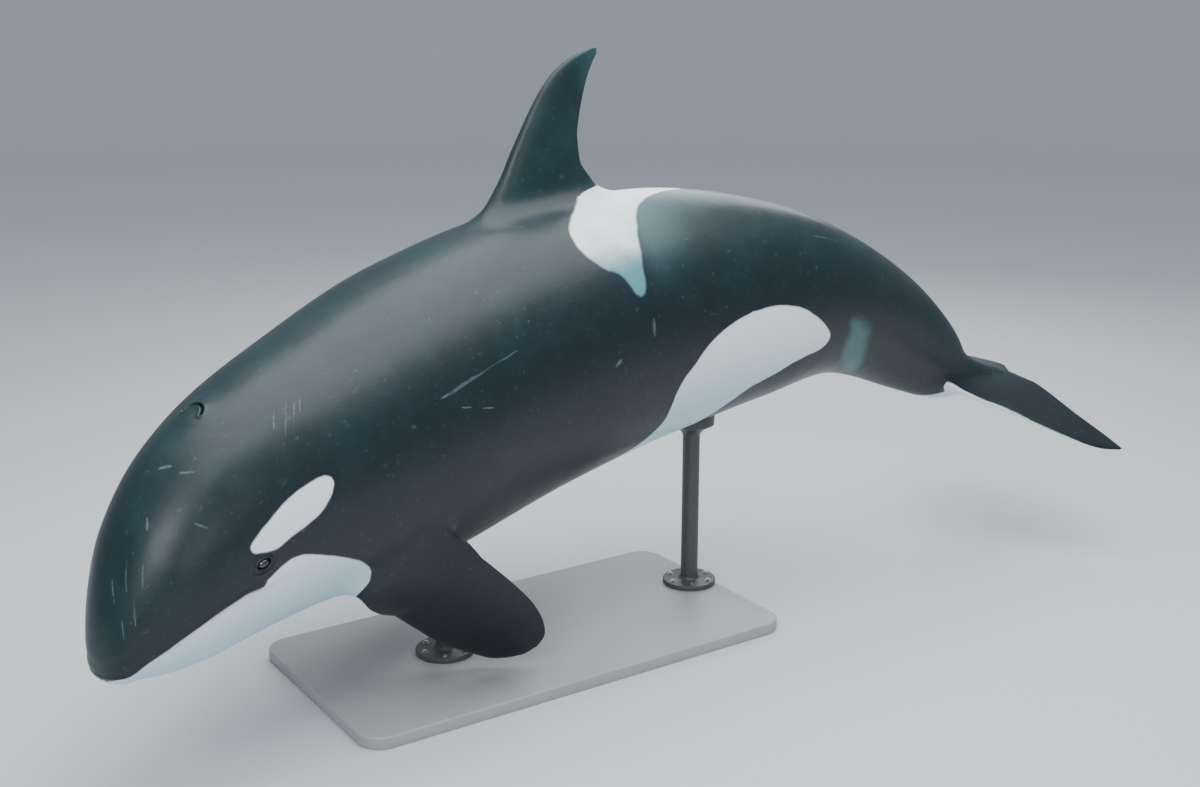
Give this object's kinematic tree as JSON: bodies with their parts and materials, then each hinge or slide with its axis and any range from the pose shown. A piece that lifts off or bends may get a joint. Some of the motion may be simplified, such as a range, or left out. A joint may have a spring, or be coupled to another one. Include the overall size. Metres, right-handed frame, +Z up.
{
  "type": "orca",
  "caption": "Life-size orca model in a turning, diving swim, with a tall back fin, paddle flippers and tail flukes, held over a flat base by short rods.",
  "frame": {"origin": "centre of the stand base's flat underside", "axes": "+Z up; +X towards the tail flukes, so the animal heads towards -X; the animal's left side faces -Y"},
  "size_m": [5.8866, 1.4387, 2.8509],
  "materials": {
    "dark_skin": "wet satin skin, near black with a slight teal cast",
    "white_skin": "wet satin skin, cool white",
    "eye": "glossy dark eye",
    "painted_steel": "satin dark grey paint",
    "plinth": "painted board, matt mid grey"
  },
  "bodies": {
    "root": {"head": "dark_skin", "trunk_front": "dark_skin", "trunk_middle": "dark_skin", "trunk_rear": "dark_skin", "tail_stock": "dark_skin", "dorsal_fin": "dark_skin", "flipper_left": "dark_skin", "flipper_right": "dark_skin", "fluke_left": "dark_skin", "fluke_right": "dark_skin", "lower_jaw": "white_skin", "eye_left": "eye", "eye_right": "eye", "stand_rod_front": "painted_steel", "stand_rod_rear": "painted_steel", "stand_base": "plinth"}
  },
  "joints": []
}
